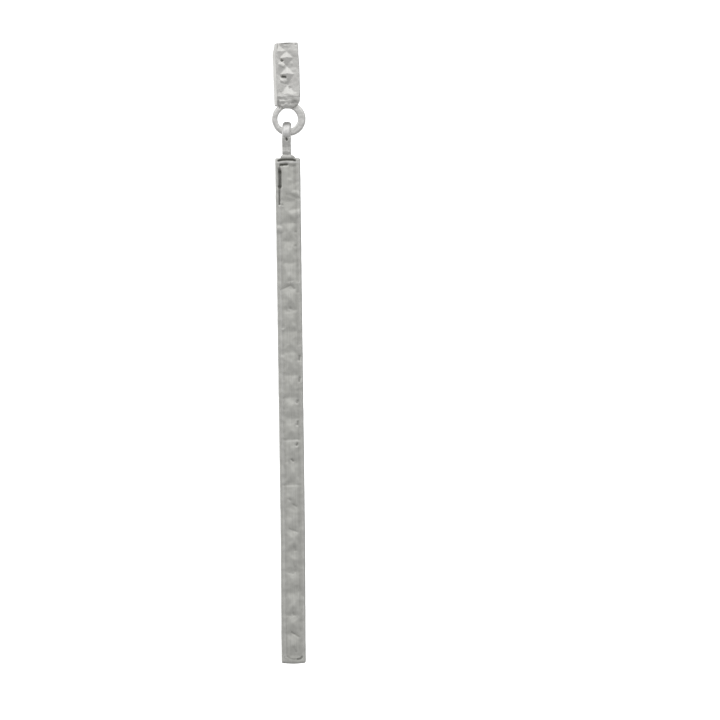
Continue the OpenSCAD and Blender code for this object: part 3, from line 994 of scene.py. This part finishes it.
TARNISH_AND_SHADE = make_tarnish_and_shade_group()
GRAIN = make_grain_group()
head_silver = silver(
    "head_silver", (0.815, 0.807, 0.78), roughness=0.28, in_recesses=0.15, clouds=0.08, streaks=0.03,
    lines=0.3, bump=0.5)
bar_silver = silver(
    "bar_silver", (0.705, 0.705, 0.665), roughness=0.3, in_recesses=0.2, clouds=0.1, streaks=0.13,
    lines=0.6, bump=0.6)
post_silver = silver(
    "post_silver", (0.88, 0.87, 0.84), roughness=0.2, in_recesses=0.0, clouds=0.03, streaks=0.03,
    lines=0.2, bump=0.3)
finish(make_head(), "stud", head_silver, "stud_head")
finish(make_post(), "stud", post_silver, "ear_post")
finish(make_bar(), "drop", bar_silver, "drop_bar")
finish(make_eye(), "drop", bar_silver, "drop_bar")


# Stage, light and camera

FRAME_W = 75.6
LENS = 200.0
SENSOR = 36.0
CAMERA_X, CAMERA_Z = 7.3, -31.1
ROLL = math.radians(0.79)
FLOOR_Z, FLOOR_W = -90.0, 300
PAPER, PAPER_ROUGHNESS = (0.8, 0.8, 0.79, 1), 0.9

# Light that the metal reflects: levels of the front half by height and by how far across, how much of
# them is left towards the back, the level of the back half, and a soft panel on the left, a little behind
LEVELS_UP = [
    (-1.0, 0.25), (-0.6, 0.42), (-0.3, 0.44), (-0.15, 0.47), (0.0, 0.55), (0.25, 0.72), (0.5, 0.95),
    (0.8, 1.1), (0.93, 0.75), (1.0, 0.5)]
LEVELS_ACROSS = [
    (-1.0, 0.8), (-0.8, 1.25), (-0.4, 1.15), (0.0, 1.0), (0.4, 1.0), (0.8, 1.05), (1.0, 0.7)]
FRONT_SHARE = [(-1.0, 1.0), (-0.3, 1.0), (0.15, 0.0), (1.0, 0.0)]
LEVEL_BEHIND = 0.42
PANEL_SIDE = (-0.87, 0.5, 0.0)
PANEL_SHARE = [(0.0, 0.0), (0.75, 0.0), (0.95, 1.0), (1.0, 1.0)]
PANEL_LEVEL = 0.86
WHITE = 1.35


def make_stage():
    deselect()
    bpy.ops.mesh.primitive_grid_add(
        x_subdivisions=8, y_subdivisions=8, size=FLOOR_W * MM, location=(0, 0, FLOOR_Z * MM))
    floor = bpy.context.object
    floor.name = "floor"
    fix_place(floor)
    paper = bpy.data.materials.new("paper")
    paper.use_nodes = True
    shader = paper.node_tree.nodes["Principled BSDF"]
    shader.inputs["Base Color"].default_value = PAPER
    shader.inputs["Roughness"].default_value = PAPER_ROUGHNESS
    floor.data.materials.append(paper)
    floor.visible_glossy = False


def grey(level):
    return (level, level, level, 1)


def ramp(tree, value, stops, low=-1.0):
    """Soft scale of greys between stops that lie from low to 1."""
    shade = tree.nodes.new("ShaderNodeValToRGB")
    shade.color_ramp.interpolation = "B_SPLINE"
    while len(shade.color_ramp.elements) < len(stops):
        shade.color_ramp.elements.new(0.5)
    for element, (at, level) in zip(shade.color_ramp.elements, stops):
        element.position = (at - low) / (1 - low)
        element.color = grey(level)
    feed(tree, shade.inputs[0], spread(tree, value, low, 1.0))
    return shade.outputs[0]


def make_world():
    """Soft tent: bright in front and above, dimmer below, at the sides and behind, with a panel on the left.

    The camera and the floor see plain white, so the background stays white all over.
    """
    world = bpy.data.worlds.new("studio")
    bpy.context.scene.world = world
    world.use_nodes = True
    tree = world.node_tree
    nodes, links = tree.nodes, tree.links
    nodes.clear()
    where = nodes.new("ShaderNodeTexCoord")
    split = nodes.new("ShaderNodeSeparateXYZ")
    links.new(where.outputs["Generated"], split.inputs[0])
    level = ramp(tree, split.outputs["Z"], LEVELS_UP)
    across = ramp(tree, split.outputs["X"], LEVELS_ACROSS)
    level = mix_colour(tree, 1.0, level, across, "MULTIPLY")
    in_front = ramp(tree, split.outputs["Y"], FRONT_SHARE)
    level = mix_colour(tree, in_front, grey(LEVEL_BEHIND), level)
    towards = nodes.new("ShaderNodeVectorMath")
    towards.operation = "DOT_PRODUCT"
    links.new(where.outputs["Generated"], towards.inputs[0])
    towards.inputs[1].default_value = Vector(PANEL_SIDE).normalized()
    on_panel = ramp(tree, towards.outputs["Value"], PANEL_SHARE, 0.0)
    level = mix_colour(tree, on_panel, level, grey(PANEL_LEVEL))
    light = nodes.new("ShaderNodeBackground")
    links.new(level, light.inputs["Color"])
    white = nodes.new("ShaderNodeBackground")
    white.inputs["Color"].default_value = (1, 1, 1, 1)
    white.inputs["Strength"].default_value = WHITE
    path = nodes.new("ShaderNodeLightPath")
    join = nodes.new("ShaderNodeMixShader")
    links.new(path.outputs["Is Glossy Ray"], join.inputs[0])
    links.new(white.outputs[0], join.inputs[1])
    links.new(light.outputs[0], join.inputs[2])
    out = nodes.new("ShaderNodeOutputWorld")
    links.new(join.outputs[0], out.inputs["Surface"])


def make_camera():
    lens = bpy.data.cameras.new("camera")
    lens.lens = LENS
    lens.sensor_width = SENSOR
    lens.clip_start, lens.clip_end = 0.01, 10
    camera = bpy.data.objects.new("camera", lens)
    bpy.context.scene.collection.objects.link(camera)
    away = FRAME_W * LENS / SENSOR
    camera.location = Vector((CAMERA_X, MIDDLE_Y - away, CAMERA_Z)) * MM
    camera.rotation_euler = (math.pi / 2, ROLL, 0)
    bpy.context.scene.camera = camera


make_stage()
make_world()
make_camera()
bpy.context.scene.view_settings.view_transform = "Standard"
